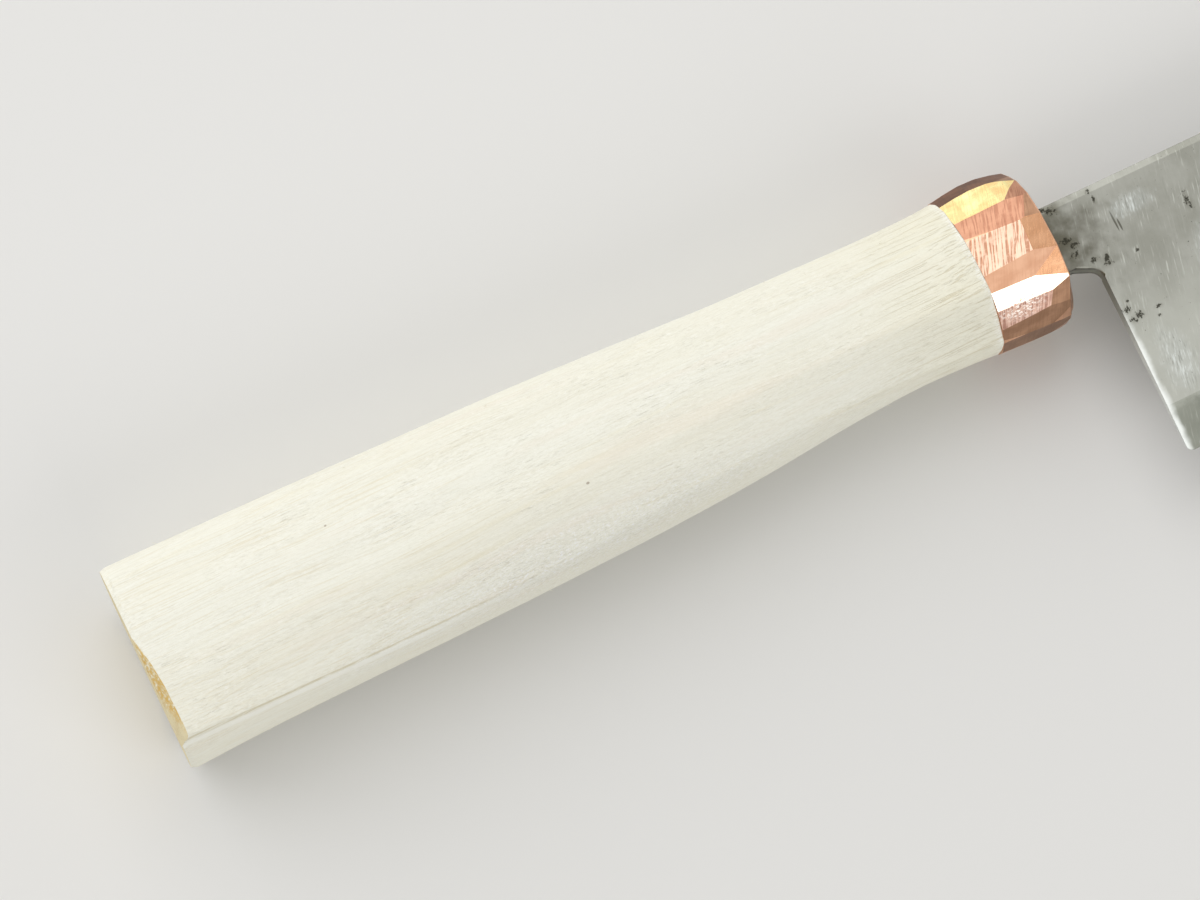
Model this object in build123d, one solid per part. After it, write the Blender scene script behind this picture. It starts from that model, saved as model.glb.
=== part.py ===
"""A nakiri, the Japanese vegetable knife, with a wooden handle and a copper ferrule.

All lengths are in millimetres. While it is built, the knife lies on its side with
zero at the middle of the ferrule's front face: X runs along the handle towards the
tip, Y from the cutting edge up to the spine, and Z towards the side that is seen.
The finished pieces are moved together so that the whole knife stands on Z = 0 with
the middle of its base at the origin.
"""
import os
from math import cos, hypot, radians, sin

from build123d import *

os.makedirs("parts", exist_ok=True)

# Handle: one piece of pale wood, whittled into long flats that swell towards the butt
WOOD_LENGTH = 121.0
BUTT_UPPER = 14.35
BUTT_LOWER = 14.2
BUTT_THICKNESS = 24.0
BUTT_CHAMFER = 0.8
WAIST_UPPER = 11.15
WAIST_LOWER = 10.2
WAIST_THICKNESS = 19.8
JOINT_UPPER = 11.35
JOINT_LOWER = 10.95
JOINT_THICKNESS = 20.6
GRIP_FLATS = 12
# How much further out than an ellipse the corners stand, at the ferrule and the butt
JOINT_FULLNESS_SHARE = 0.03
BUTT_FULLNESS_SHARE = 0.22
# Along the wood from the ferrule, then how far the upper half, the lower half and
# the thickness have grown from the waist (0) to the butt (1)
GRIP_STATION_SHARES = (
    (0.09, 0.00, 0.00, 0.00),
    (0.19, 0.06, 0.13, 0.10),
    (0.30, 0.19, 0.42, 0.28),
    (0.42, 0.42, 0.66, 0.48),
    (0.55, 0.64, 0.76, 0.66),
    (0.68, 0.77, 0.84, 0.78),
    (0.80, 0.87, 0.90, 0.88),
    (0.90, 0.94, 0.95, 0.94),
    (1.00, 1.00, 1.00, 1.00),
)

# Ferrule: copper pipe squeezed slightly oval, then filed into flats
FERRULE_LENGTH = 11.0
FERRULE_HEIGHT = 22.9
FERRULE_THICKNESS = 20.8
FERRULE_WALL = 1.45
TENON_CLEARANCE = 0.05
TENON_SETBACK = 0.2
FILE_DEPTH = 0.12
# Long flats round the ferrule: angle from the spine side towards the seen side,
# forward lean and sideways skew, in degrees, and the filed depth as a share
FLAT_SHARES = (
    (24.0, 1.2, 3.0, 1.3),
    (47.0, 0.6, -2.0, 1.6),
    (67.0, 1.0, 1.5, 1.0),
    (88.0, 0.4, -1.0, 1.6),
    (111.0, 1.6, 2.5, 1.2),
    (130.0, 0.4, -2.5, 1.8),
    (149.0, 1.4, -1.5, 1.0),
    (171.0, 0.8, 2.0, 1.5),
    (193.0, 1.2, -1.5, 1.2),
    (214.0, 0.6, 2.0, 1.7),
    (235.0, 1.4, -2.5, 1.1),
    (257.0, 0.8, 1.0, 1.5),
    (279.0, 1.2, 2.5, 1.3),
    (300.0, 0.5, -1.5, 1.6),
    (322.0, 1.0, 2.0, 1.1),
    (343.0, 0.7, -2.0, 1.6),
    (3.0, 1.1, 1.0, 1.2),
)
# Short flats that break the ferrule's front edge: angle and lean in degrees, and the
# filed depth as a share
FRONT_FLAT_SHARES = (
    (36.0, 7.0, 1.4),
    (77.0, 10.0, 1.9),
    (100.0, 8.0, 2.2),
    (121.0, 6.0, 1.5),
    (152.0, 9.0, 1.7),
    (185.0, 7.0, 1.5),
    (222.0, 9.0, 1.8),
    (262.0, 8.0, 1.6),
    (301.0, 9.0, 1.7),
    (339.0, 7.0, 1.5),
)

# Blade: a hard core between two soft layers, wedge shaped from spine to edge
SPINE_ABOVE_AXIS = 4.35
BLADE_HEIGHT = 38.4
BLADE_LENGTH = 160.0
SPINE_THICKNESS = 3.6
CORE_THICKNESS = 1.1
DISTAL_TAPER = 0.7
EDGE_THICKNESS = 0.16
BEVEL_HEIGHT = 6.8
SPINE_EASE_DROP = 1.0
SPINE_EASE_DEPTH = 0.45
NECK_LENGTH = 6.0
NECK_LEVEL_SHARE = 0.45
NECK_BELOW_AXIS = 5.2
NECK_FLARE = 1.4
NECK_CORNER_RADIUS = 1.8
NECK_UNGROUND = 3.0
NECK_RELIEF = 0.12
HEEL_LEAN = 1.0
HEEL_CORNER_RADIUS = 0.9
TIP_LEAN = 4.0
TIP_SPINE_RADIUS = 14.0
TIP_EDGE_RADIUS = 2.5
BELLY_RISE = 1.4
BELLY_LENGTH = 55.0

# Tang: the blade's three layers, drawn out inside the handle
NECK_INSIDE = 8.0
TANG_LENGTH = 95.0
TANG_SHOULDER = 0.9
TANG_THICKNESS = 2.7
TANG_END_HEIGHT = 4.2
TANG_END_THICKNESS = 1.8
TANG_END_CORE = 0.7

# Bedding: set resin that fills the slot round the tang
BEDDING_SIDE = 0.8
BEDDING_ABOVE = 0.9
BEDDING_END = 3.0

# Places that follow from the sizes above
JOINT_X = -FERRULE_LENGTH
BUTT_X = JOINT_X - WOOD_LENGTH
TIP_X = NECK_LENGTH + BLADE_LENGTH
SPINE_Y = SPINE_ABOVE_AXIS
EDGE_Y = SPINE_Y - BLADE_HEIGHT
BEVEL_Y = EDGE_Y + BEVEL_HEIGHT
TANG_END_Y = (SPINE_Y - NECK_BELOW_AXIS) / 2
OVERRUN = FERRULE_WALL


def between(start, end, share):
    """The value that lies a share of the way from start to end."""
    return start + (end - start) * share


def grip_stations():
    """Places along the grip, each with its upper and lower half and half thickness."""
    stations = [(JOINT_X, JOINT_UPPER, JOINT_LOWER, JOINT_THICKNESS / 2)]
    for along, upper_share, lower_share, thickness_share in GRIP_STATION_SHARES:
        x = between(JOINT_X, BUTT_X + BUTT_CHAMFER, along)
        upper = between(WAIST_UPPER, BUTT_UPPER, upper_share)
        lower = between(WAIST_LOWER, BUTT_LOWER, lower_share)
        thickness = between(WAIST_THICKNESS, BUTT_THICKNESS, thickness_share)
        stations.append((x, upper, lower, thickness / 2))
    return stations


def whittled_side(angle):
    """Everything inside one long flat of the grip that faces the given angle."""
    out_y, out_z = cos(radians(angle)), sin(radians(angle))
    crest = []
    for x, upper, lower, half_thickness in grip_stations():
        half_height = upper if out_y > 0 else lower
        growth = (JOINT_X - x) / WOOD_LENGTH
        fullness = between(JOINT_FULLNESS_SHARE, BUTT_FULLNESS_SHARE, growth)
        oval = hypot(half_height * out_y, half_thickness * out_z)
        crest.append((x, oval * (1 + fullness * abs(2 * out_y * out_z))))
    butt_rim = (BUTT_X, crest[-1][1] - BUTT_CHAMFER)
    floor = -BUTT_UPPER - BUTT_LOWER
    edges = [
        Spline(*crest),
        Line(crest[-1], butt_rim),
        Line(butt_rim, (BUTT_X, floor)),
        Line((BUTT_X, floor), (JOINT_X, floor)),
        Line((JOINT_X, floor), crest[0]),
    ]
    side = Plane(origin=(0, 0, 0), x_dir=(1, 0, 0), z_dir=(0, -out_z, out_y))
    return extrude(side * make_face(edges), BUTT_UPPER + BUTT_LOWER, both=True)


def grip_blank():
    """The outside of the wood, from the ferrule joint to the butt."""
    grip = whittled_side(0)
    for flat in range(1, GRIP_FLATS):
        grip &= whittled_side(flat * 360 / GRIP_FLATS)
    return grip


def tang_slot():
    """The tapered slot in the handle, as the solid that fills it."""
    spine_side = SPINE_Y + BEDDING_ABOVE
    edge_side = NECK_BELOW_AXIS + BEDDING_ABOVE
    mouth_height = spine_side + edge_side
    mouth_middle = (spine_side - edge_side) / 2
    mouth = Rectangle(mouth_height, SPINE_THICKNESS + 2 * BEDDING_SIDE)
    end_height = TANG_END_HEIGHT + 2 * BEDDING_ABOVE
    end = Rectangle(end_height, TANG_END_THICKNESS + 2 * BEDDING_SIDE)
    mouth_plane = Plane.YZ.offset(-TENON_SETBACK)
    end_plane = Plane.YZ.offset(-TANG_LENGTH - BEDDING_END)
    sections = [
        mouth_plane * Pos(mouth_middle, 0) * mouth,
        end_plane * Pos(TANG_END_Y, 0) * end,
    ]
    return loft(sections, ruled=True)


def tenon():
    """The oval tongue of the handle that fills the ferrule's bore."""
    half_height = FERRULE_HEIGHT / 2 - FERRULE_WALL - TENON_CLEARANCE
    half_thickness = FERRULE_THICKNESS / 2 - FERRULE_WALL - TENON_CLEARANCE
    outline = Plane.YZ.offset(JOINT_X) * Ellipse(half_height, half_thickness)
    return extrude(outline, FERRULE_LENGTH - TENON_SETBACK)


def handle():
    """The wooden grip with its tenon, slotted for the tang."""
    return grip_blank() + tenon() - tang_slot()


def filed_flat(angle, lean, skew, depth, along):
    """A block whose face is one filed flat of the ferrule, set at a place along it."""
    half_height, half_thickness = FERRULE_HEIGHT / 2, FERRULE_THICKNESS / 2
    out_y, out_z = cos(radians(angle)), sin(radians(angle))
    reach = hypot(half_height * out_y, half_thickness * out_z) - depth
    side = Plane(
        origin=(along, reach * out_y, reach * out_z),
        x_dir=(1, 0, 0),
        z_dir=(0, out_y, out_z),
    )
    block = Box(2 * WOOD_LENGTH, FERRULE_HEIGHT, FERRULE_HEIGHT)
    tilt = Rot(0, lean, skew)
    return side * tilt * Pos(0, 0, FERRULE_HEIGHT / 2) * block


def ferrule():
    """Copper collar with an oval bore, long filed flats and a broken front edge."""
    seat = Plane.YZ.offset(JOINT_X)
    pipe = extrude(seat * Ellipse(FERRULE_HEIGHT / 2, FERRULE_THICKNESS / 2), FERRULE_LENGTH)
    bore_height = FERRULE_HEIGHT / 2 - FERRULE_WALL
    bore_thickness = FERRULE_THICKNESS / 2 - FERRULE_WALL
    for angle, lean, skew, depth_share in FLAT_SHARES:
        pipe -= filed_flat(angle, lean, skew, FILE_DEPTH * depth_share, JOINT_X / 2)
    for angle, lean, depth_share in FRONT_FLAT_SHARES:
        pipe -= filed_flat(angle, lean, 0, FILE_DEPTH * depth_share, -FERRULE_LENGTH / 4)
    return pipe - extrude(seat * Ellipse(bore_height, bore_thickness), FERRULE_LENGTH)


def blade_outline():
    """The blade and neck seen from the side, back to where the tang begins."""
    neck_level = NECK_LENGTH * NECK_LEVEL_SHARE
    neck_corner = (NECK_LENGTH, -NECK_BELOW_AXIS - NECK_FLARE)
    heel = (NECK_LENGTH - HEEL_LEAN, EDGE_Y)
    tip_edge = (TIP_X, EDGE_Y + BELLY_RISE)
    belly_start = (TIP_X - BELLY_LENGTH, EDGE_Y)
    belly_middle = (TIP_X - BELLY_LENGTH / 2, EDGE_Y + BELLY_RISE / 4)
    tip_spine = (TIP_X - TIP_LEAN, SPINE_Y)
    edges = [
        Line((-NECK_INSIDE, SPINE_Y), tip_spine),
        Line(tip_spine, tip_edge),
        ThreePointArc(tip_edge, belly_middle, belly_start),
        Line(belly_start, heel),
        Line(heel, neck_corner),
        Line(neck_corner, (neck_level, -NECK_BELOW_AXIS)),
        Line((neck_level, -NECK_BELOW_AXIS), (-NECK_INSIDE, -NECK_BELOW_AXIS)),
        Line((-NECK_INSIDE, -NECK_BELOW_AXIS), (-NECK_INSIDE, SPINE_Y)),
    ]
    outline = make_face(edges)
    corners = (
        (neck_corner, NECK_CORNER_RADIUS),
        (heel, HEEL_CORNER_RADIUS),
        (tip_edge, TIP_EDGE_RADIUS),
        (tip_spine, TIP_SPINE_RADIUS),
    )
    for point, radius in corners:
        vertex = outline.vertices().sort_by_distance(Vector(*point))[0]
        outline = fillet(vertex, radius)
    return outline


def blade_slab():
    """The blade outline as a slab thicker than the knife."""
    return extrude(blade_outline(), SPINE_THICKNESS, both=True)


def taper_at(x):
    """How much each face of the blade has come in at x, towards the tip."""
    return DISTAL_TAPER / 2 * x / TIP_X


def face_half(y):
    """Half the blade's thickness at y before the taper towards the tip."""
    rise = (SPINE_THICKNESS - CORE_THICKNESS) / (SPINE_Y - BEVEL_Y)
    return (CORE_THICKNESS + rise * (y - BEVEL_Y)) / 2


def core_section(x):
    """The core's outline at x: parallel sides, then the bevel down to the edge."""
    half_core = CORE_THICKNESS / 2 - taper_at(x)
    half_edge = EDGE_THICKNESS / 2
    above = SPINE_Y + OVERRUN
    corners = [
        (above, half_core),
        (BEVEL_Y, half_core),
        (EDGE_Y, half_edge),
        (EDGE_Y, -half_edge),
        (BEVEL_Y, -half_core),
        (above, -half_core),
    ]
    return Plane.YZ.offset(x) * make_face(Polyline(*corners, close=True))


def cladding_plate(start_x, end_x, relief):
    """A stretch of the seen layer, its face ground down by the given relief."""
    taper = taper_at(start_x)
    half_core = CORE_THICKNESS / 2 - taper
    ease_y = SPINE_Y - SPINE_EASE_DROP
    ease_z = face_half(ease_y) - taper - relief
    ease_slope = SPINE_EASE_DEPTH / SPINE_EASE_DROP
    above = SPINE_Y + OVERRUN
    corners = [
        (above, half_core),
        (BEVEL_Y, half_core),
        (ease_y, ease_z),
        (above, ease_z - ease_slope * (above - ease_y)),
    ]
    section = Plane.YZ.offset(start_x) * make_face(Polyline(*corners, close=True))
    run = Vector(end_x - start_x, 0, taper - taper_at(end_x))
    return extrude(section, run.length, dir=run.normalized())


def tang_layer(low, high, end_low, end_high):
    """One layer of the tang between two heights above the blade's middle plane."""
    start_top, start_bottom = SPINE_Y - TANG_SHOULDER, TANG_SHOULDER - NECK_BELOW_AXIS
    start = Rectangle(start_top - start_bottom, high - low)
    start_middle = Pos((start_top + start_bottom) / 2, (low + high) / 2)
    end = Rectangle(TANG_END_HEIGHT, end_high - end_low)
    end_middle = Pos(TANG_END_Y, (end_low + end_high) / 2)
    sections = [
        Plane.YZ.offset(-NECK_INSIDE) * start_middle * start,
        Plane.YZ.offset(-TANG_LENGTH) * end_middle * end,
    ]
    return loft(sections, ruled=True)


def blade_core():
    """The hard middle layer, from the tang's end to the cutting edge."""
    half = CORE_THICKNESS / 2
    end_half = TANG_END_CORE / 2
    wedge = loft([core_section(-NECK_INSIDE), core_section(TIP_X)], ruled=True)
    tang = tang_layer(-half, half, -end_half, end_half)
    return (wedge & blade_slab()) + tang


def cladding_seen():
    """The soft layer on the side that is seen, with its share of the tang."""
    half_core, half_tang = CORE_THICKNESS / 2, TANG_THICKNESS / 2
    end_core, end_half = TANG_END_CORE / 2, TANG_END_THICKNESS / 2
    plate = cladding_plate(NECK_UNGROUND, TIP_X, 0) & blade_slab()
    neck = cladding_plate(-NECK_INSIDE, NECK_UNGROUND, NECK_RELIEF) & blade_slab()
    tang = tang_layer(half_core, half_tang, end_core, end_half)
    return plate + neck + tang


def tang_bedding(steel):
    """The resin that fills the handle's slot round the neck and the tang."""
    fill = tang_slot()
    for piece in steel:
        fill -= piece
    return fill


def build():
    """All the pieces by name, in the frame that stands on Z = 0."""
    core = blade_core()
    seen = cladding_seen()
    back = mirror(seen, Plane.XY)
    pieces = {
        "blade_core": core,
        "cladding_seen": seen,
        "cladding_back": back,
        "tang_bedding": tang_bedding([core, seen, back]),
        "handle": handle(),
        "ferrule": ferrule(),
    }
    boxes = [piece.bounding_box() for piece in pieces.values()]
    middle_x = (min(box.min.X for box in boxes) + max(box.max.X for box in boxes)) / 2
    middle_y = (min(box.min.Y for box in boxes) + max(box.max.Y for box in boxes)) / 2
    base_z = min(box.min.Z for box in boxes)
    to_base = Pos(-middle_x, -middle_y, -base_z)
    return {name: to_base * piece for name, piece in pieces.items()}


for name, piece in build().items():
    export_step(piece, f"parts/{name}.step")
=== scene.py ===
"""Looks for a nakiri knife: whittled pale wood, filed copper and forge-welded steel."""
from math import atan2, cos, degrees, pi, radians, sin
from random import Random

import bmesh
import bpy
from mathutils import Matrix, Vector


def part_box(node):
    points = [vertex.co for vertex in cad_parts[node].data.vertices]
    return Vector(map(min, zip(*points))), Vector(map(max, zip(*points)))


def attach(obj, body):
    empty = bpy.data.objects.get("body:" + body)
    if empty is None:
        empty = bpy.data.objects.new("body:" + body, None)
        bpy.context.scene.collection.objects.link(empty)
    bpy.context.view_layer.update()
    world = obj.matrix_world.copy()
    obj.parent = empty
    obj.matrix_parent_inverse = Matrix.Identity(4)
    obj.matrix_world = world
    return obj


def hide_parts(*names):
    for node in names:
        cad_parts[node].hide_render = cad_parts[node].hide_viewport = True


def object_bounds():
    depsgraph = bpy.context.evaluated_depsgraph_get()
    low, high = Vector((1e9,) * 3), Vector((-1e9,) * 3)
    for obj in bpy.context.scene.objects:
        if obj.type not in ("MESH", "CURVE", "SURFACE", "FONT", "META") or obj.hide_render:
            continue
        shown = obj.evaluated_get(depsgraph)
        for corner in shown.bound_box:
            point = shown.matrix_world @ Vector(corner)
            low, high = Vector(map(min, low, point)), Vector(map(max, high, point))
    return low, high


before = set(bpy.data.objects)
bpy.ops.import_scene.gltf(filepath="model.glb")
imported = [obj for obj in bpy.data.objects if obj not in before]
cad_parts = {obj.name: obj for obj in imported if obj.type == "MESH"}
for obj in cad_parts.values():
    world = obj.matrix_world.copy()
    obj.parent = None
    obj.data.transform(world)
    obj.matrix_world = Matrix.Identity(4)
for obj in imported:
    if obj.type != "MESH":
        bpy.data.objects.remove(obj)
CAD_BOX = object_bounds()

bl_info = {
    "name": "Nakiri knife",
    "version": (1, 0, 0),
    "blender": (4, 5, 0),
    "location": "3D View > Sidebar > Nakiri",
    "description": "Dresses the packed nakiri knife in carved wood, copper and steel",
    "category": "Object",
}

MM = 0.001

# Where things are in the frame, in millimetres
HANDLE_LOW, HANDLE_HIGH = (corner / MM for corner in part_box("handle"))
FERRULE_LOW, FERRULE_HIGH = (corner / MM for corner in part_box("ferrule"))
BEDDING_LOW, BEDDING_HIGH = (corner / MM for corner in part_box("tang_bedding"))
FRONT_X = FERRULE_HIGH.x
JOINT_X = FERRULE_LOW.x
BUTT_X = HANDLE_LOW.x
AXIS_Y = (FERRULE_LOW.y + FERRULE_HIGH.y) / 2
AXIS_Z = (FERRULE_LOW.z + FERRULE_HIGH.z) / 2
LAMINATION_Y = (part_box("cladding_seen")[0] / MM).y

# Rings of the grip, in millimetres and degrees: distance behind the ferrule's front,
# upper half, lower half and half thickness; then, for the seen side's upper and lower
# quarters, how far round the arris runs and how square the quarter is (2 is an
# ellipse); last, how square the far side is
GRIP_RINGS = (
    (131.2, 14.04, 14.16, 12.00, 49, 2.9, 45, 5.0, 3.8),
    (124.0, 13.92, 13.88, 11.93, 49, 2.9, 41, 4.5, 3.7),
    (115.6, 13.76, 13.68, 11.86, 50, 2.9, 37, 4.1, 3.6),
    (102.6, 13.51, 13.62, 11.70, 50, 2.95, 33, 3.7, 3.5),
    (89.4, 13.17, 13.42, 11.50, 51, 2.95, 30, 3.3, 3.4),
    (76.1, 12.88, 13.14, 11.27, 55, 2.9, 31, 3.0, 3.2),
    (62.8, 12.50, 12.84, 10.93, 57, 2.9, 35, 2.9, 3.0),
    (49.0, 11.68, 12.18, 10.54, 56, 2.8, 37, 2.7, 2.8),
    (42.6, 11.42, 11.58, 10.36, 57, 2.75, 36, 2.6, 2.7),
    (35.8, 11.37, 10.97, 10.16, 58, 2.7, 34, 2.55, 2.6),
    (29.0, 11.22, 10.47, 10.02, 55, 2.55, 30, 2.7, 2.5),
    (22.0, 11.08, 10.22, 9.92, 52, 2.4, 26, 2.8, 2.4),
    (16.7, 11.06, 10.50, 9.96, 48, 2.3, 22, 2.8, 2.35),
    (11.0, 11.28, 10.76, 10.48, 45, 2.25, 18, 2.5, 2.3),
)
RING_SIDES = 24
# Arrises of the grip: angle from the spine side towards the seen side, sharpness, and
# how far behind the ferrule's front they begin
ARRISES = (
    (45, 0.85, 133.0), (135, 1.0, 133.0), (105, 0.3, 80.0), (105, 0.55, 66.0),
    (90, 0.4, 50.0), (225, 0.9, 133.0), (315, 0.9, 133.0), (255, 0.6, 80.0),
)
# The far side keeps off the floor by this much, so that no knife cut reaches below it
FAR_EASE = 0.12
# How far the point above each arris is drawn to the line between its neighbours
FLATTENING = 0.7
# Depth of the lifted fibres, and the lengths, heights and thicknesses of the knife's
# cuts and of those fibres
LIFT_DEPTH = 0.07
CUT_SIZE, LIFT_SIZE = (34, 4.5, 4.5), (7, 0.9, 0.9)
# Rims of flat wood kept inside the grip's ends and inside the tenon's end
END_RIM, TENON_RIM = 0.5, 0.8
# The tenon is smaller than the collar all round by the copper's wall and a hair
TENON_STEP = 1.5
# The slot for the tang: height and thickness at its mouth and at its bottom
SLOT_MOUTH, SLOT_BOTTOM = (11.35, 5.2), (6.0, 3.4)
# Three points of the slice off the butt, and a nick in the edge that it left
BUTT_SLICE = ((-132, 3.4, 11.9), (-130.6, -12.3, 10.6), (-132, -12.8, 8.3))
NICK, NICK_RADIUS, NICK_LENGTH = (-131.6, 3.9, 12.2), 0.55, 2.4
# The lowest crease, along which a line of shade and a highlight are painted: the
# point where it begins to climb, and its climb per square millimetre ahead of that
# point
CREASE_MIDDLE, CREASE_CLIMB = (-100, -12.75, 0), 0.00094
# Raised fibres: how many, the seed of their draw, their radius and lengths, and how
# far they lean along and across the grip
WHISKERS, WHISKER_SEED = 70, 11
WHISKER_RADIUS, WHISKER_LENGTHS = 0.05, (0.5, 1.1)
LEAN_ALONG, LEAN_ACROSS = (0.4, 1.6), (-0.4, 0.4)

# The copper collar: half its height and half its thickness, and its wall
COLLAR_HALF_Y, COLLAR_HALF_Z, COLLAR_WALL = 11.45, 10.4, 1.45

# Flats filed on the ferrule: angle from the spine side towards the seen side and
# forward lean in degrees, filed depth and its distance behind the front in
# millimetres, and the tone of its finish, which is partly painted reflection
FILED_FLATS = (
    (3.0, 0.6, 0.13, 5.5, "dark"),
    (27.5, 1.0, 0.30, 5.5, "dark"),
    (50.5, 0.2, 0.26, 5.5, "gold"),
    (69.5, 0.9, 0.17, 5.5, "lined"),
    (90.0, -0.4, 0.25, 5.5, "coarse"),
    (108.0, 0.8, 0.16, 5.5, "plain"),
    (122.0, 0.1, 0.17, 5.5, "bright"),
    (135.0, -0.6, 0.16, 5.5, "speckled"),
    (151.0, 1.3, 0.20, 5.5, "brown"),
    (172.0, 0.8, 0.22, 5.5, "dull"),
    (190.0, 1.2, 0.17, 5.5, "plain"),
    (212.0, 0.6, 0.22, 5.5, "lined"),
    (234.0, 1.0, 0.17, 5.5, "coarse"),
    (256.0, 0.5, 0.22, 5.5, "plain"),
    (277.0, 1.1, 0.18, 5.5, "gold"),
    (299.0, 0.5, 0.22, 5.5, "lined"),
    (321.0, 0.9, 0.17, 5.5, "coarse"),
    (342.0, 0.6, 0.21, 5.5, "plain"),
    (33.0, 5.0, 0.22, 2.2, "brown"),
    (54.0, 4.0, 0.26, 1.9, "lined"),
    (73.0, 8.0, 0.22, 1.6, "brown"),
    (90.5, 5.5, 0.27, 2.9, "tan"),
    (113.0, 3.5, 0.20, 2.8, "tan"),
    (137.0, 4.5, 0.22, 2.3, "brown"),
    (158.0, 4.0, 0.22, 1.9, "plain"),
    (183.0, 5.0, 0.24, 2.2, "lined"),
    (222.0, 4.5, 0.22, 2.4, "gold"),
    (262.0, 5.0, 0.22, 2.0, "plain"),
    (301.0, 4.5, 0.24, 2.3, "lined"),
    (339.0, 5.0, 0.22, 2.1, "plain"),
)
# How far hammering and filing moved the collar's skin: place behind the front, then
# outward on the spine side and on the edge side, and back along the knife on the edge
# side, in millimetres
CROWN = (
    (0.0, -0.40, -0.15, 0.75), (0.5, -0.25, -0.10, 0.70), (1.8, 0.10, 0.0, 0.45),
    (3.9, 0.48, 0.0, 0.0), (6.4, 0.56, -0.12, 0.0), (8.8, 0.32, -0.30, 0.0),
    (11.0, 0.0, -0.45, 0.0),
)
# Where round the collar the crown and the flattened side have their middles, in
# degrees, and the cosines of the way from there at which they are nothing and full
CROWN_MIDDLES, CROWN_NONE, CROWN_FULL = (12, 176), 0.72, 0.92
# The skin lies outside this share of the collar's half sizes
SKIN_SHARE = 0.93
# Tones of the copper: darker and lighter colour, roughness, then how strongly the file
# lines show and how deep they are in millimetres. The colours are partly painted
# reflection: the bright and gold tones hold painted highlights, the dark tone painted
# shade
COPPER_TONES = {
    "plain": ("#c99474", "#e2b292", 0.30, 0.25, 0.008),
    "gold": ("#ffc07a", "#fff6b4", 0.27, 0.30, 0.006),
    "tan": ("#b98763", "#d2a17c", 0.27, 0.15, 0.006),
    "lined": ("#9c6a54", "#c49378", 0.36, 0.60, 0.008),
    "coarse": ("#b58064", "#f3d3ba", 0.32, 0.90, 0.012),
    "speckled": ("#9c6f60", "#dcb7a4", 0.38, 0.80, 0.010),
    "bright": ("#f3c9a9", "#fff0e0", 0.26, 0.40, 0.008),
    "brown": ("#86634c", "#b38b6f", 0.40, 0.25, 0.008),
    "dull": ("#7a5a46", "#a17d64", 0.44, 0.25, 0.008),
    "dark": ("#573b2c", "#8a6047", 0.46, 0.20, 0.006),
}
# Beside the brightest flat and on it the painted shine is broken into specks: painted
# glints on the speckled flat and dark specks in the painted highlight of the brightest;
# the noise at which they begin and are full, and their colour
PAINTED_SPECK_TONES = {"speckled": (0.50, 0.58, "#fff4ea"), "bright": (0.47, 0.40, "#94695a")}

# The neck's outer face is this much lower than the blade's in the solids
NECK_RELIEF = 0.12
# What is levelled there: from and to, ahead of the ferrule's front, all that lies
# further than this from the middle plane; and where the blade's own face begins
NECK_FROM, NECK_TO, NECK_SKIN, FACE_FROM = -8.1, 3.01, 0.9, 4
# The rim that is eased: from where ahead of the ferrule's front, how far from the
# middle plane, and the least turn between its faces in degrees
RIM_FROM, RIM_SKIN, RIM_TURN = -0.5, 0.7, 20
# Groups of rust pits on the seen face: place from the middle of the ferrule's front,
# then reach along and across, in millimetres
RUST_GROUPS = (
    (3.5, 3.3, 1.7, 1.0), (2.4, 3.9, 0.9, 0.6), (9.3, 3.6, 0.7, 0.8),
    (9.5, 2.2, 0.5, 0.9), (3.4, -1.3, 1.5, 1.0), (4.2, -2.3, 1.3, 0.9),
    (3.7, -3.5, 1.2, 0.8), (5.7, -5.2, 1.2, 0.7), (7.4, -5.7, 0.8, 1.2),
    (7.3, -6.4, 1.1, 0.8), (11.6, -6.5, 0.5, 0.4), (6.5, -13.2, 1.3, 1.0),
    (7.7, -14.6, 1.4, 1.0), (6.7, -14.9, 1.2, 0.8), (7.05, -12.2, 0.5, 0.5),
    (10.6, -14.6, 1.1, 0.5), (10.2, -15.8, 0.5, 0.4), (4.9, -23.5, 0.4, 0.5),
    (21.0, -3.4, 0.9, 2.4),
)
# Scratches along the strokes: place of the middle and length
SCRATCHES = ((10.65, -1.6, 3.7), (11.1, -2.35, 2.3))
# Places where the last strokes still shine: middle, then reach along and across
POLISHED = ((13.6, -0.4, 4.6, 2.2), (9.6, -22.5, 3.2, 6.5), (21.5, -10.5, 3.5, 5.0))
# The choil, from the neck to the heel's corner, along which a highlight is painted
CHOIL = ((5.15, -9.5), (4.6, -34.0))

# The point that the lamps face, in millimetres, then their names, their places from
# there, widths and heights in metres, and powers in watts
LIT_POINT = (-60, 0, 0)
LAMPS = (("key", (-0.22, 0.62, 0.66), 1.4, 1.4, 7.6),
         ("fill", (0.25, -0.85, 0.65), 0.8, 0.5, 2.6))
# The room's light on the knife, as a share of the white that the metal mirrors
ROOM_LIGHT = 0.5
# The camera's place and what it looks at, then its roll in radians, its lens and its
# sensor in millimetres
EYE, TARGET = (-137.709, -102.581, 515.086), (-65.597, 0.436, 0)
ROLL, LENS, SENSOR = 0.441489, 120, 36


def linear(code):
    """Linear RGBA of an sRGB hex colour."""
    channels = [int(code[start:start + 2], 16) / 255 for start in (1, 3, 5)]
    return tuple(c / 12.92 if c <= 0.04045 else ((c + 0.055) / 1.055) ** 2.4
                 for c in channels) + (1.0,)


def place(x, y, z):
    """A point given in millimetres from the middle of the ferrule's front face."""
    return Vector((FRONT_X + x, AXIS_Y + y, AXIS_Z + z)) * MM


# ---- Materials

def add_node(tree, kind, inputs=(), output=0, **settings):
    """Add a node with its settings, fill its inputs and give one of its outputs.

    The inputs, in order or by name, are links, values or hex colours.
    """
    node = tree.nodes.new("ShaderNode" + kind)
    for name, value in settings.items():
        setattr(node, name, value)
    if not isinstance(inputs, dict):
        inputs = dict(enumerate(inputs))
    for key, value in inputs.items():
        if isinstance(value, bpy.types.NodeSocket):
            tree.links.new(value, node.inputs[key])
        else:
            node.inputs[key].default_value = (
                linear(value) if isinstance(value, str) else value)
    return node.outputs[output]


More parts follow.
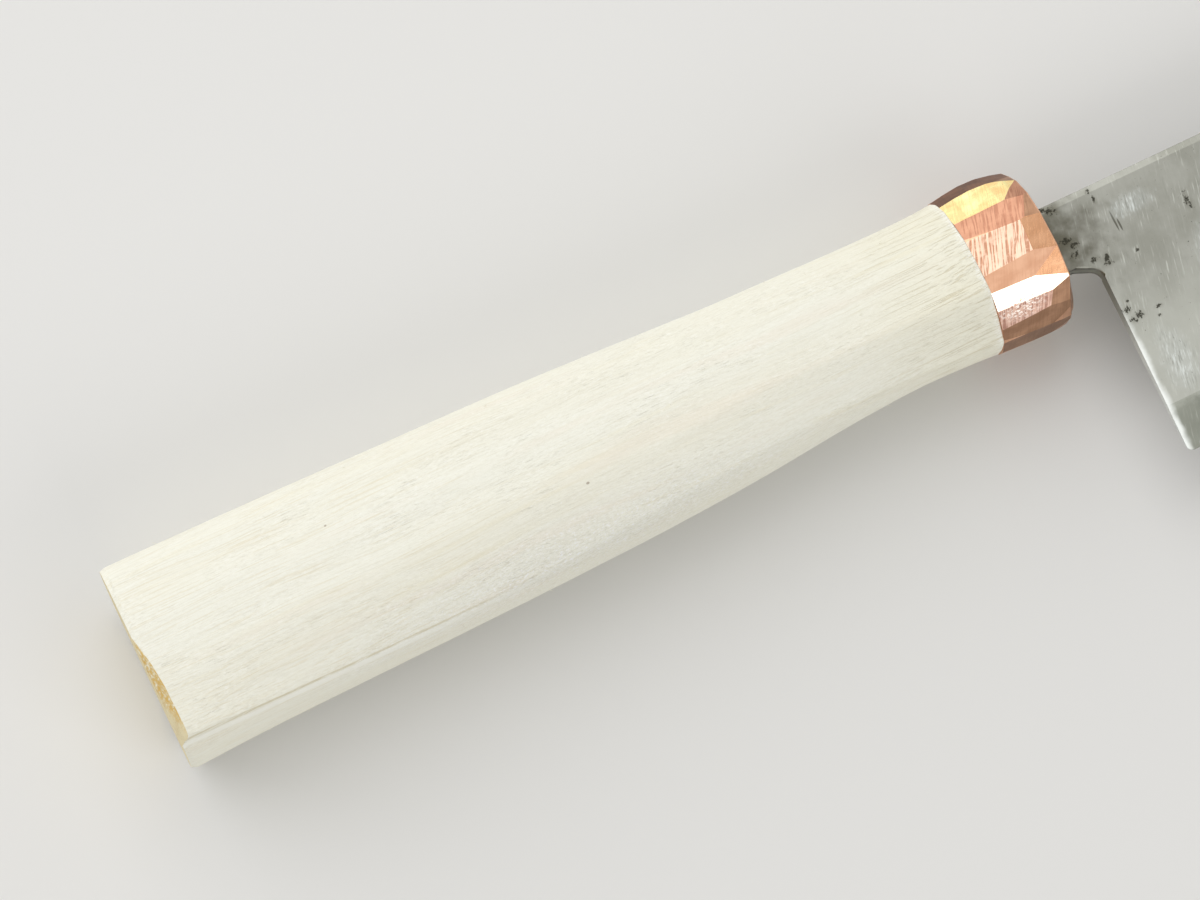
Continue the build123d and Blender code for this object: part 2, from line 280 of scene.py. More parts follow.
def new_material(name, colour, metallic, roughness):
    """A material with its shader set, its tree and object coordinates."""
    material = bpy.data.materials.new(name)
    material.use_nodes = True
    material.diffuse_color = colour
    tree = material.node_tree
    shader = tree.nodes["Principled BSDF"]
    shader.inputs["Base Color"].default_value = colour
    shader.inputs["Metallic"].default_value = metallic
    shader.inputs["Roughness"].default_value = roughness
    spot = add_node(tree, "TexCoord", output="Object")
    return material, tree, shader, spot


def stretched(tree, spot, size, detail=2.0, roughness=0.5, shift=0.0, turn=0.0):
    """Noise from 0 to 1 whose blotches are about the given size in millimetres."""
    if turn:
        spot = add_node(tree, "Mapping", {"Vector": spot, "Rotation": (0, 0, turn)})
    grid = add_node(tree, "Mapping", {
        "Vector": spot, "Location": (shift, shift, shift),
        "Scale": [1 / (length * MM) for length in size]})
    return add_node(tree, "TexNoise", {
        "Vector": grid, "Scale": 1.0, "Detail": detail, "Roughness": roughness})


def overlap(tree, *masks):
    """Where several masks hold at once: their product.

    A mask is a link, a number, or a row with a pattern, the values at which it begins
    and is full, and its weakest and strongest value where these aren't 0 and 1.
    """
    product = None
    for mask in masks:
        if isinstance(mask, tuple):
            pattern, begin, full, *ends = mask
            mask = add_node(
                tree, "MapRange", (pattern, begin, full, *(ends or (0, 1))),
                interpolation_type="SMOOTHSTEP")
        product = mask if product is None else add_node(
            tree, "Math", (product, mask), operation="MULTIPLY")
    return product


def lay(tree, colour, *layers):
    """Lay tones over a colour, one after the other, each where all its masks hold."""
    for tone, *masks in layers:
        colour = add_node(tree, "Mix", {0: overlap(tree, *masks), 6: colour, 7: tone},
                          data_type="RGBA", output=2)
    return colour


def near(tree, spot, point, reach, ragged=None, core=0.6):
    """1 at a point, falling to 0 at its reach in millimetres, and ragged by noise."""
    away = add_node(tree, "VectorMath", (spot, point), operation="SUBTRACT")
    sized = add_node(
        tree, "VectorMath", (away, [1 / (length * MM) for length in reach]),
        operation="MULTIPLY")
    gap = add_node(tree, "VectorMath", (sized,), operation="LENGTH", output="Value")
    if ragged is not None:
        gap = add_node(tree, "Math", (gap, ragged), operation="ADD")
    return overlap(tree, (gap, 1.0, core))


def finish_surface(tree, shader, colour, height, depth):
    """Give a shader its colour and a bump whose depth is in millimetres."""
    tree.links.new(colour, shader.inputs["Base Color"])
    bump = add_node(tree, "Bump", {
        "Height": height, "Distance": depth * MM, "Strength": 1.0})
    tree.links.new(bump, shader.inputs["Normal"])


def whittled_wood():
    """Ho wood, cut with a knife and left dry.

    Cream white with a fine straight grain, short open pores, faint yellow bands and
    small raised fibres, with painted highlights on their tips and painted shade at
    their roots, and a painted shade line and highlight along the lowest crease.
    """
    material, tree, shader, spot = new_material(
        "ho_wood_whittled", linear("#f2f0e1"), 0.0, 0.68)
    x_along = add_node(tree, "SeparateXYZ", (spot,))
    # The fibres waver a little along the grip
    sway = stretched(tree, spot, (28, 12, 12), 1.0, shift=2.7)
    aside = add_node(tree, "CombineXYZ", {"Y": overlap(tree, sway, 2.4 * MM)})
    grain = add_node(tree, "VectorMath", (spot, aside), operation="ADD")
    # Bands 6 mm wide, blushes 3 mm and streaks 1 mm; fibres, grain lines and torn lines
    # 0.2 mm, and cut fibre ends 0.7 mm long
    bands = stretched(tree, grain, (160, 6.0, 7.0))
    blush = stretched(tree, grain, (60, 3.0, 3.5), shift=7.9)
    streaks = stretched(tree, grain, (60, 1.0, 1.2), 3.0, shift=3.1)
    fibres = stretched(tree, grain, (9, 0.24, 0.26), 3.0, 0.65, shift=5.7)
    threads = stretched(tree, grain, (9, 0.20, 0.21), 2.0, 0.4, shift=6.3)
    lines = stretched(tree, grain, (16, 0.20, 0.22), shift=2.2)
    pores = stretched(tree, grain, (2.6, 0.14, 0.15), 1.0, shift=9.2)
    fuzz = stretched(tree, grain, (0.7, 0.20, 0.21), 3.0, 0.7, shift=4.4)
    # Noise for the painted highlights on lifted fibre tips and the painted shade at their
    # roots
    glint_and_shade_noise = stretched(tree, spot, (0.55, 0.24, 0.25), 3.0, 0.75, shift=8.8)
    crowding = stretched(tree, spot, (14, 5.0, 5.0), shift=1.4)
    # Fibres lifted by the knife roughen the lower flat
    lifted = near(tree, spot, place(-72, -13, 7), (52, 8, 14), core=0.1)
    rough = add_node(
        tree, "Math", (lifted, 0.3, overlap(tree, (crowding, 0.3, 0.65, 0.2, 0.5))),
        operation="MULTIPLY_ADD")
    open_pores = overlap(tree, (pores, 0.64, 0.74), (crowding, 0.4, 0.65, 0.1, 1.0))
    # The end next to the ferrule was rasped, which tore the grain into long dark lines
    rasped = overlap(
        tree, (x_along, (FRONT_X - 34) * MM, (FRONT_X - 14) * MM, 0.12, 1.0))
    torn = overlap(tree, rasped, (lines, 0.56, 0.66))
    marks = add_node(
        tree, "Math", (overlap(tree, open_pores, 0.12), overlap(tree, torn, 0.34)),
        operation="MAXIMUM")
    # Way along and across from the middle of the lowest crease, which climbs in front
    from_crease = add_node(tree, "VectorMath", (spot, place(*CREASE_MIDDLE)),
                           operation="SUBTRACT")
    x_part, y_part = (add_node(tree, "SeparateXYZ", (from_crease,), output=axis)
                      for axis in (0, 1))
    ahead = add_node(tree, "Math", (x_part, 0.0), operation="MAXIMUM")
    drop = add_node(
        tree, "Math", (y_part, overlap(tree, ahead, ahead, CREASE_CLIMB / MM)),
        operation="SUBTRACT")
    # Span along the crease in which its shade line and highlight are painted
    painted_crease_span = overlap(tree, (x_part, 30 * MM, -5 * MM))
    knot = near(tree, spot, place(-70.45, -4.95, 11.2), (0.30, 0.20, 3.0))
    pin = near(tree, spot, place(-103.5, 4.6, 10.5), (0.22, 0.16, 3.0))
    dots = add_node(tree, "Math", (knot, pin), operation="MAXIMUM")
    colour = lay(
        tree, "#f4f3e6",
        ("#f3f1e2", (bands, 0.4, 0.62)),
        ("#ecd9c4", (blush, 0.56, 0.74, 0, 0.2)),
        ("#ece2c0", (streaks, 0.55, 0.8, 0, 0.3)),
        ("#d9d3be", (fibres, 0.46, 0.74, 0, 0.3)),
        # The beige grain lines are clearest towards the butt
        ("#e0d4b4", (threads, 0.54, 0.68, 0, 0.36),
         (x_along, (FRONT_X - 70) * MM, (FRONT_X - 100) * MM, 0.3, 1.0)),
        ("#dedacb", (fuzz, 0.5, 0.7), rough),
        ("#fffef8", (fuzz, 0.46, 0.32), rough),
        # Painted highlights on the tips of lifted fibres, and painted shade at their roots
        ("#ffffff", (glint_and_shade_noise, 0.55, 0.64, 0, 0.9), lifted),
        ("#cccbbd", (glint_and_shade_noise, 0.47, 0.35, 0, 0.36), lifted),
        ("#efe8c8", rasped, 0.3),
        ("#c6b486", marks),
        # Painted shade in a thin line along the crease, and a painted highlight in a pale
        # lip beside it
        ("#cabd98", painted_crease_span, (drop, 0.0, 0.12 * MM), (drop, 0.34 * MM, 0.20 * MM),
         (fibres, 0.36, 0.56, 0.15, 0.65)),
        ("#fffff6", painted_crease_span, (drop, -0.45 * MM, -0.3 * MM),
         (drop, 0.02 * MM, -0.1 * MM), 0.6),
        # Pale fibres stand up along the joint
        ("#fffff8", (x_along, (JOINT_X - 1.3) * MM, (JOINT_X - 0.1) * MM),
         (fuzz, 0.56, 0.42), 0.7),
        ("#86705a", dots, 0.6))
    furrows = add_node(tree, "Math", (open_pores, torn), operation="MAXIMUM")
    tufts = add_node(tree, "Math", (lifted, 1.5, 0.5), operation="MULTIPLY_ADD")
    height = add_node(tree, "Math", (fibres, 0.6, overlap(tree, fuzz, tufts)),
                      operation="MULTIPLY_ADD")
    height = add_node(tree, "Math", (furrows, -0.4, height), operation="MULTIPLY_ADD")
    finish_surface(tree, shader, colour, height, 0.085)
    return material


def cut_end_grain():
    """Ho wood sawn across: tan, with close arcs of growth and tiny open vessels.

    Where the butt's corner was sliced off, the fibres are torn: ochre and pale flecks.
    """
    material, tree, shader, spot = new_material(
        "ho_wood_end_grain", linear("#e9dcb4"), 0.0, 0.8)
    # Growth rings about 2.6 mm apart that wander, round the tree's heart
    from_heart = add_node(
        tree, "VectorMath", (spot, place(0, 46, -30)), operation="SUBTRACT")
    flat = add_node(tree, "VectorMath", (from_heart, (0, 1, 1)), operation="MULTIPLY")
    radius = add_node(tree, "VectorMath", (flat,), operation="LENGTH", output="Value")
    turns = add_node(
        tree, "Math", (stretched(tree, spot, (9, 9, 9), 3.0), 11.0,
                       overlap(tree, radius, 2 * pi / (2.6 * MM))),
        operation="MULTIPLY_ADD")
    rings = add_node(tree, "Math", (turns,), operation="SINE")
    vessels = stretched(tree, spot, (0.5, 0.2, 0.2), 1.0)
    flecks = stretched(tree, spot, (0.7, 0.7, 0.5), 4.0, 0.7, shift=3.3)
    torn = near(tree, spot, place(-131.2, -5.0, 12.0), (3, 10, 3.2), core=0.5)
    colour = lay(
        tree, "#e9dcb4",
        ("#d6c190", (rings, -0.6, 1.0, 0, 0.34)),
        ("#b39a6c", (vessels, 0.6, 0.72, 0, 0.35)),
        ("#dcb255", torn, (flecks, 0.40, 0.62, 0.2, 0.9)),
        ("#f6f0da", torn, (flecks, 0.46, 0.36)))
    finish_surface(tree, shader, colour, overlap(tree, vessels, -1.0), 0.06)
    return material


def filed_copper(tone):
    """Copper pipe, filed by hand and left bare.

    Every flat has a tone of its own, partly from its strokes and partly painted
    reflection, with painted highlights on the brightest and gold flats and painted
    shade on the dark ones; with file lines across the knife, painted glints, and thin
    brown patches where the old skin is left.
    """
    dark, light, roughness, contrast, depth = COPPER_TONES[tone]
    # Each tone's colours are partly painted reflection: highlights on the bright ones,
    # shade on the dark
    material, tree, shader, spot = new_material(
        "copper_filed_painted_reflection_" + tone, linear(light), 1.0, roughness)
    # File lines 0.3 mm apart that waver and break, over soft mottling
    lines = stretched(tree, spot, (0.24, 4.0, 4.0), 1.0, turn=radians(22))
    breaks = stretched(tree, spot, (1.4, 0.7, 0.7), 2.0, 0.6, shift=5.2)
    mottle = stretched(tree, spot, (2.6, 1.4, 1.4), 3.0, shift=2.3)
    skin = stretched(tree, spot, (0.9, 0.5, 0.5), 3.0, 0.7, shift=8.1)
    grooves = overlap(tree, (lines, 0.54, 0.42), (breaks, 0.3, 0.55, 0.35, 1.0))
    colour = lay(
        tree, dark,
        (light, (mottle, 0.3, 0.7, 0.3 + 0.55 * contrast, 1.0)),
        (dark, grooves, contrast),
        ("#9a6447", (skin, 0.68, 0.76, 0, 0.4)))
    # Painted glints on the speckled flat, and dark specks breaking the painted highlight
    # of the brightest
    if tone in PAINTED_SPECK_TONES:
        start, end, fleck = PAINTED_SPECK_TONES[tone]
        specks = stretched(tree, spot, (0.45, 0.3, 0.3), 3.0, 0.7, shift=1.7)
        painted_speck_patch = near(tree, spot, place(-7.6, -7.7, 7.0), (4.6, 2.0, 3.0), core=0.3)
        colour = lay(tree, colour, (fleck, painted_speck_patch, (specks, start, end)))
    finish_surface(tree, shader, colour, overlap(tree, grooves, -1.0), depth)
    return material


def steel(name, dark, bright, roughness):
    """Tree of a ground steel surface, with patches of short strokes across it."""
    material, tree, shader, spot = new_material(name, linear(bright), 1.0, roughness)
    # Strokes 0.3 mm wide and 3 mm long, and hairlines 0.12 mm wide, both aslant
    clouds = stretched(tree, spot, (6, 7, 7), 4.0, 0.6, shift=4.2)
    patches = stretched(tree, spot, (4, 5, 5), shift=6.6)
    strokes = stretched(tree, spot, (0.32, 3.2, 3.2), 2.0, 0.6, turn=radians(14))
    hairlines = stretched(tree, spot, (0.12, 5, 4), 1.0, shift=7.7, turn=radians(14))
    worked = overlap(tree, (patches, 0.44, 0.62, 0.15, 1.0))
    colour = lay(
        tree, dark,
        (bright, (clouds, 0.33, 0.67)),
        ("#cfd1c8", worked, (strokes, 0.56, 0.72, 0, 0.45)),
        ("#7d7e75", worked, (strokes, 0.44, 0.3, 0, 0.3)))
    return material, tree, shader, spot, colour, hairlines


def paint_choil_highlight(tree, spot, colour):
    """Paint a highlight in a strip along the choil, more and more towards the heel's
    corner.
    """
    start, end = (place(x, y, 0) for x, y in CHOIL)
    along = (end - start).normalized()
    inward = Vector((-along.y, along.x, 0.0))
    inside = add_node(
        tree, "VectorMath", (spot, inward), operation="DOT_PRODUCT", output="Value")
    gap = add_node(tree, "Math", (inside, -start.dot(inward)), operation="ADD")
    gap = add_node(
        tree, "Math", (stretched(tree, spot, (1.5, 2, 2), shift=2.8), 0.8 * MM, gap),
        operation="MULTIPLY_ADD")
    y_across = add_node(tree, "SeparateXYZ", (spot,), output=1)
    return lay(tree, colour, (
        "#eff2ee", (gap, 1.9 * MM, 0.9 * MM),
        (y_across, (AXIS_Y - 9) * MM, (AXIS_Y - 21) * MM), 0.85))


def ground_iron():
    """Soft iron cladding, ground on a stone and worn: satin grey with rust pits."""
    material, tree, shader, spot, colour, hairlines = steel(
        "soft_iron_ground", "#8c8c83", "#9b9b93", 0.36)
    # The stone left the metal paler towards the heel; the neck is darker and browner, in
    # ragged blotches
    y_across = add_node(tree, "SeparateXYZ", (spot,), output=1)
    blotches = add_node(
        tree, "Math", (stretched(tree, spot, (2, 2, 2), 3.0, shift=1.1), -0.5),
        operation="ADD")
    neck = near(tree, spot, place(0, -1, 0), (12, 10, 30), blotches, core=0.1)
    colour = lay(
        tree, colour,
        ("#b9bab1", (y_across, (AXIS_Y - 7) * MM, (AXIS_Y - 20) * MM, 0, 0.55)),
        ("#514e42", neck, 0.9))
    # Painted highlight along the choil
    colour = paint_choil_highlight(tree, spot, colour)
    for x, y, length in SCRATCHES:
        scratch = near(tree, spot, place(x, y, 1.5), (0.17, length / 2, 4.0))
        colour = lay(tree, colour, ("#4d4b42", scratch, 0.8))
    ragged = add_node(
        tree, "Math", (stretched(tree, spot, (1.6, 1.6, 1.6), 3.0, 0.6, shift=2.6),
                       0.9, -0.45), operation="MULTIPLY_ADD")
    fine = stretched(
        tree, spot, (0.26, 1.7, 1.7), 2.0, 0.6, shift=9.4, turn=radians(12))
    for x, y, along, across in POLISHED:
        patch = near(tree, spot, place(x, y, 1.5), (along, across, 4.0), ragged, 0.2)
        colour = lay(
            tree, colour,
            ("#c6cbc9", patch, 0.22),
            ("#dadfdc", patch, 0.5, (fine, 0.52, 0.66)),
            ("#73746b", patch, 0.5, (fine, 0.46, 0.3)))
    # Rust has eaten ragged groups of pits, and a few specks between them
    groups = 0.0
    for x, y, wide, tall in RUST_GROUPS:
        group = near(tree, spot, place(x, y, 1.5), (wide, tall, 4.0), core=0.0)
        groups = add_node(tree, "Math", (groups, group), operation="MAXIMUM")
    crust = stretched(tree, spot, (0.42, 0.5, 0.5), 3.0, 0.7, shift=3.9)
    eaten = add_node(tree, "Math", (groups, 0.31, crust), operation="MULTIPLY_ADD")
    specks = stretched(tree, spot, (0.6, 0.6, 0.6), shift=6.1)
    pits = add_node(
        tree, "Math", (overlap(tree, (eaten, 0.67, 0.78)),
                       overlap(tree, (specks, 0.74, 0.8), 0.6)),
        operation="MAXIMUM")
    colour = lay(tree, colour, ("#5d5a4c", groups, 0.3), ("#3d3c34", pits, 0.88))
    roughness = add_node(tree, "Math", (pits, 0.35, 0.36), operation="MULTIPLY_ADD")
    tree.links.new(roughness, shader.inputs["Roughness"])
    height = add_node(tree, "Math", (pits, -1.0, overlap(tree, hairlines, 0.3)),
                      operation="MULTIPLY_ADD")
    finish_surface(tree, shader, colour, height, 0.03)
    return material


def honed_core():
    """Hard core steel, honed on a fine stone: a misty grey strip above the edge."""
    material, tree, shader, spot, colour, hairlines = steel(
        "core_steel_honed", "#7b7d73", "#8a8c82", 0.42)
    # A pale haze wanders along the lamination line
    y_across = add_node(tree, "SeparateXYZ", (spot,), output=1)
    above = add_node(
        tree, "Math", (stretched(tree, spot, (1.8, 1.6, 1.6), 4.0, 0.6, shift=5.5),
                       3.0 * MM, y_across), operation="MULTIPLY_ADD")
    colour = lay(tree, colour, ("#a3a59b", (
        above, LAMINATION_Y * MM, (LAMINATION_Y + 1.6) * MM, 0, 0.7)))
    # Painted highlight along the choil
    colour = paint_choil_highlight(tree, spot, colour)
    finish_surface(tree, shader, colour, hairlines, 0.012)
    return material


def set_resin():
    """Bedding resin, poured and set: amber, smooth and slightly hollow."""
    material, tree, shader, spot = new_material(
        "amber_resin_set", linear("#7a4b22"), 0.0, 0.22)
    cloud = stretched(tree, spot, (3, 3, 3), 3.0)
    finish_surface(tree, shader, lay(tree, "#5f3617", ("#94602f", cloud)), cloud, 0.1)
    return material


# ---- Modelling

def pick(test, kind="VERT"):
    """In edit mode, select only the vertices, edges or faces that pass a test."""
    bpy.ops.mesh.select_mode(type=kind)
    bpy.ops.mesh.select_all(action="DESELECT")
    mesh = bmesh.from_edit_mesh(bpy.context.object.data)
    parts = {"VERT": mesh.verts, "EDGE": mesh.edges, "FACE": mesh.faces}[kind]
    for part in parts:
        if test(part):
            part.select_set(True)
    mesh.select_flush_mode()
    bmesh.update_edit_mesh(bpy.context.object.data)


def turn_on_axis(vertex):
    """A vertex's angle round the handle, from the spine side to the seen side."""
    return degrees(atan2(vertex.co.z - AXIS_Z * MM, vertex.co.y - AXIS_Y * MM)) % 360


def at_x(part, x):
    """Whether a vertex or a whole edge or face lies at x, in millimetres."""
    vertices = [part] if isinstance(part, bmesh.types.BMVert) else part.verts
    return all(abs(vertex.co.x / MM - x) < 0.01 for vertex in vertices)


def add_rod(name, sides, start_x, end_x):
    """A rod 1 mm in radius along the handle's axis, in edit mode and all selected."""
    bpy.ops.object.select_all(action="DESELECT")
    bpy.ops.mesh.primitive_cylinder_add(
        vertices=sides, radius=MM, depth=(end_x - start_x) * MM, end_fill_type="NGON",
        location=((start_x + end_x) / 2 * MM, AXIS_Y * MM, AXIS_Z * MM),
        rotation=(0, pi / 2, 0))
    bpy.ops.object.transform_apply(location=True, rotation=True, scale=True)
    piece = bpy.context.object
    piece.name = piece.data.name = name
    bpy.ops.object.mode_set(mode="EDIT")
    return piece


def scale_from_axis(x, height, thickness):
    """In edit mode, scale what is selected from the handle's axis at x."""
    bpy.ops.transform.resize(
        value=(1, height, thickness),
        center_override=(x * MM, AXIS_Y * MM, AXIS_Z * MM))


def cut_along(point, normal, drop=False):
    """In edit mode, cut a whole mesh along a plane, or drop all that is outside it."""
    bpy.ops.mesh.select_all(action="SELECT")
    bpy.ops.mesh.bisect(plane_co=point, plane_no=normal, use_fill=drop,
                        clear_outer=drop, threshold=MM / 1000)


def apply_modifier(piece, kind, **settings):
    """Add a modifier with its settings and apply it."""
    modifier = piece.modifiers.new(kind, kind)
    for name, value in settings.items():
        setattr(modifier, name, value)
    bpy.context.view_layer.objects.active = piece
    bpy.ops.object.modifier_apply(modifier=modifier.name)


def cut_out(piece, cutter):
    """Cut a shape out of a piece and remove the shape."""
    apply_modifier(piece, "BOOLEAN", object=cutter, operation="DIFFERENCE",
                   solver="EXACT")
    bpy.data.objects.remove(cutter)


def roughen(piece, name, grain, depth, size, group):
    """Push a surface in and out by soft noise of a size in millimetres, then apply."""
    cloud = bpy.data.textures.new(name, "CLOUDS")
    cloud.noise_scale = 1.0
    cloud.noise_depth = grain
    bpy.ops.object.empty_add(location=(0, 0, 0))
    grid = bpy.context.object
    grid.scale = [length * MM for length in size]
    bpy.context.view_layer.update()
    apply_modifier(piece, "DISPLACE", texture=cloud, strength=depth * MM,
                   mid_level=0.5, texture_coords="OBJECT", texture_coords_object=grid,
                   vertex_group=group)
    bpy.data.objects.remove(grid)


def finish_piece(piece, nodes, materials):
    """Give a piece its materials, hang it on the root body and hide the parts it stands
    for.
    """
    for material in materials:
        piece.data.materials.append(material)
    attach(piece, "root")
    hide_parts(*nodes)


def pick_object(piece):
    """Select one object alone and make it the active one."""
    bpy.ops.object.select_all(action="DESELECT")
    bpy.context.view_layer.objects.active = piece
    piece.select_set(True)


class GripSettings(bpy.types.PropertyGroup):
    chamfer: bpy.props.FloatProperty(
        name="Butt chamfer", description="Width of the cut corner round the butt",
        default=0.35 * MM, unit="LENGTH")
    arris: bpy.props.FloatProperty(
        name="Arris sharpness", description="How crisp the whittled edges are",
        default=0.8, min=0, max=1, subtype="FACTOR")
    unevenness: bpy.props.FloatProperty(
        name="Unevenness", description="Depth of the knife's cuts along the grip",
        default=0.3 * MM, unit="LENGTH")


class FerruleSettings(bpy.types.PropertyGroup):
    lip: bpy.props.FloatProperty(
        name="Lip", description="Width of the eased front lip",
        default=0.3 * MM, unit="LENGTH")


class BladeSettings(bpy.types.PropertyGroup):
    easing: bpy.props.FloatProperty(
        name="Easing", description="Width of the rounded spine, neck and heel edges",
        default=0.32 * MM, unit="LENGTH")


class StageSettings(bpy.types.PropertyGroup):
    floor_colour: bpy.props.FloatVectorProperty(
        name="Floor", description="Colour of the studio floor", size=3,
        default=linear("#e4e3e0")[:3], subtype="COLOR")


class NAKIRI_OT_grip(bpy.types.Operator):
    """Carve the wooden grip with its tenon and the slot for the tang"""
    bl_idname = "nakiri.grip"
    bl_label = "Carve grip"

    def execute(self, context):
        settings = context.scene.nakiri_grip
        chamfer = settings.chamfer / MM
        grip = add_rod("grip", RING_SIDES, BUTT_X, JOINT_X)
        for ring in GRIP_RINGS[:-1]:
            cut_along(place(-ring[0], 0, 0), (1, 0, 0))
        for turn, sharpness, reach in ARRISES:
            pick(lambda edge: self.is_arris(edge, turn, reach), "EDGE")
            bpy.ops.transform.edge_crease(value=sharpness * settings.arris)
        rim = (FRONT_X - BUTT_X,) + GRIP_RINGS[0][1:]
        for ring in GRIP_RINGS + (rim,):
            self.shape_ring(*ring)
        # The rim of the butt comes in by the chamfer
        pick(lambda vertex: at_x(vertex, BUTT_X))
        scale_from_axis(BUTT_X, 1 - chamfer / rim[1], 1 - chamfer / rim[3])
        # Inset rings keep both ends flat
        for x in (BUTT_X, JOINT_X):
            pick(lambda face: at_x(face, x), "FACE")
            bpy.ops.mesh.inset(thickness=END_RIM * MM)
        # Tenon
        pick(lambda face: at_x(face, JOINT_X) and len(face.verts) > 4, "FACE")
        tenon_y = (FERRULE_HIGH.y - FERRULE_LOW.y) / 2 - TENON_STEP
        tenon_z = (FERRULE_HIGH.z - FERRULE_LOW.z) / 2 - TENON_STEP
        joint = GRIP_RINGS[-1]
        scale_from_axis(
            JOINT_X, tenon_y / (joint[1] - END_RIM), tenon_z / (joint[3] - END_RIM))
        bpy.ops.mesh.extrude_region_move(TRANSFORM_OT_translate={
            "value": ((HANDLE_HIGH.x - JOINT_X) * MM, 0, 0)})
        bpy.ops.mesh.inset(thickness=TENON_RIM * MM)
        pick(self.is_rim, "EDGE")
        bpy.ops.transform.edge_crease(value=0.9)
        bpy.ops.object.mode_set(mode="OBJECT")
        apply_modifier(grip, "SUBSURF", levels=3, render_levels=3)
        self.limit_to_wood(grip)
        roughen(grip, "knife_cuts", 1, settings.unevenness / MM, CUT_SIZE, "wood")
        roughen(grip, "lifted_fibres", 2, LIFT_DEPTH, LIFT_SIZE, "wood")
        cut = self.trim_butt(grip)
        self.cut_slot(grip)
        self.raise_whiskers(grip)
        bpy.ops.object.shade_smooth_by_angle(angle=radians(38))
        finish_piece(grip, ["handle"], [whittled_wood(), cut_end_grain()])
        # Both sawn ends and the slice show end grain
        for polygon in grip.data.polygons:
            end = polygon.center.x < (BUTT_X + 1.5) * MM and (
                polygon.normal.x < -0.97 or polygon.normal.dot(cut) > 0.999)
            front = polygon.normal.x > 0.8 and polygon.center.x > (JOINT_X + 1) * MM
            polygon.material_index = int(end or front)
        return {"FINISHED"}

    def shape_ring(self, behind, upper, lower, half_thickness, *corners):
        """Bring one ring of the rod to its size, with its arrises in their places."""
        x = FRONT_X - behind
        upper_turn, upper_power, lower_turn, lower_power, far_power = corners
        quarters = {
            (1, 1): (upper_turn, upper_power), (-1, 1): (lower_turn, lower_power),
            (1, -1): (45, far_power), (-1, -1): (45, far_power)}
        pick(lambda vertex: at_x(vertex, x))
        scale_from_axis(x, upper, half_thickness)
        for (way_y, way_z), (turn, power) in quarters.items():
            half_height = upper if way_y > 0 else lower
            ends = {}
            for step in range(0, 91, 360 // RING_SIDES):
                angle = radians(turn * step / 45 if step < 45
                                else 90 - (90 - turn) * (90 - step) / 45)
                run, rise = cos(angle), sin(angle)
                reach = (run ** power + rise ** power) ** (-1 / power)
                depth = half_thickness - (FAR_EASE if way_z < 0 else 0)
                ends[step] = Vector((run * reach * half_height * way_y,
                                     rise * reach * depth * way_z))
            # The knife left a flat between the arris and the line above it
            ends[60] = ends[60].lerp((ends[45] + ends[75]) / 2, FLATTENING)
            for step, end in ends.items():
                start = Vector((cos(radians(step)) * upper * way_y,
                                sin(radians(step)) * half_thickness * way_z))
                found = start + Vector((AXIS_Y, AXIS_Z))
                pick(lambda vertex: at_x(vertex, x) and (
                    vertex.co.yz / MM - found).length < 0.02)
                bpy.ops.transform.translate(value=(0, *((end - start) * MM)))

    def is_arris(self, edge, turn, reach):
        """Whether an edge of the straight rod lies on an arris at an angle."""
        start, end = edge.verts
        return abs(start.co.x - end.co.x) > MM and all(
            abs(turn_on_axis(vertex) - turn) < 1
            and FRONT_X - reach - 1 < vertex.co.x / MM for vertex in edge.verts)

    def is_rim(self, edge):
        """Whether an edge goes round the butt, the joint or the tenon."""
        start, end = edge.verts
        return abs(start.co.x - end.co.x) < 0.02 * MM and (
            start.co.x < (BUTT_X + 1) * MM or start.co.x > (JOINT_X - 0.1) * MM)

    def limit_to_wood(self, grip):
        """A vertex group of the grip's long sides, that fades out at both ends."""
        group = grip.vertex_groups.new(name="wood")
        for vertex in grip.data.vertices:
            x = vertex.co.x / MM
            weight = min((x - BUTT_X) / 1.0, (JOINT_X - x) / 1.5, 1.0)
            if weight > 0:
                group.add([vertex.index], weight, "REPLACE")

    def trim_butt(self, grip):
        """Slice and nick the butt's seen corner, and say which way the slice faces."""
        start, end, under = (place(*corner) for corner in BUTT_SLICE)
        cut = (end - start).cross(under - start).normalized()
        if cut.x > 0:
            cut.negate()
        bpy.context.view_layer.objects.active = grip
        bpy.ops.object.mode_set(mode="EDIT")
        cut_along(start, cut, drop=True)
        bpy.ops.object.mode_set(mode="OBJECT")
        bpy.ops.mesh.primitive_cone_add(
            vertices=5, radius1=NICK_RADIUS * MM, depth=NICK_LENGTH * MM,
            location=place(*NICK), rotation=(radians(20), radians(75), 0))
        cut_out(grip, bpy.context.object)
        return cut

    def raise_whiskers(self, grip):
        """Stand fine fibres up on the wood, where the knife tore them loose."""
        chance = Random(WHISKER_SEED)
        roots = [vertex for vertex in grip.data.vertices
                 if (BUTT_X + 4) * MM < vertex.co.x < (JOINT_X - 3) * MM
                 and vertex.normal.yz.length > 0.9]
        roots = [(vertex.co.copy(), vertex.normal.copy())
                 for vertex in chance.sample(roots, WHISKERS)]
        bpy.ops.object.select_all(action="DESELECT")
        fibres = []
        for root, normal in roots:
            lean = Vector((chance.choice((-1, 1)) * chance.uniform(*LEAN_ALONG),
                           chance.uniform(*LEAN_ACROSS), chance.uniform(*LEAN_ACROSS)))
            away = (normal + lean).normalized()
            length = chance.uniform(*WHISKER_LENGTHS) * MM
            if not all(low <= value <= high for low, value, high in zip(
                    CAD_BOX[0], root + away * length, CAD_BOX[1])):
                continue
            bpy.ops.mesh.primitive_cone_add(
                vertices=4, radius1=WHISKER_RADIUS * MM, depth=length,
                location=root + away * length * 0.3,
                rotation=away.to_track_quat("Z", "Y").to_euler())
            fibres.append(bpy.context.object)
        for piece in fibres:
            piece.select_set(True)
        grip.select_set(True)
        bpy.context.view_layer.objects.active = grip
        bpy.ops.object.join()

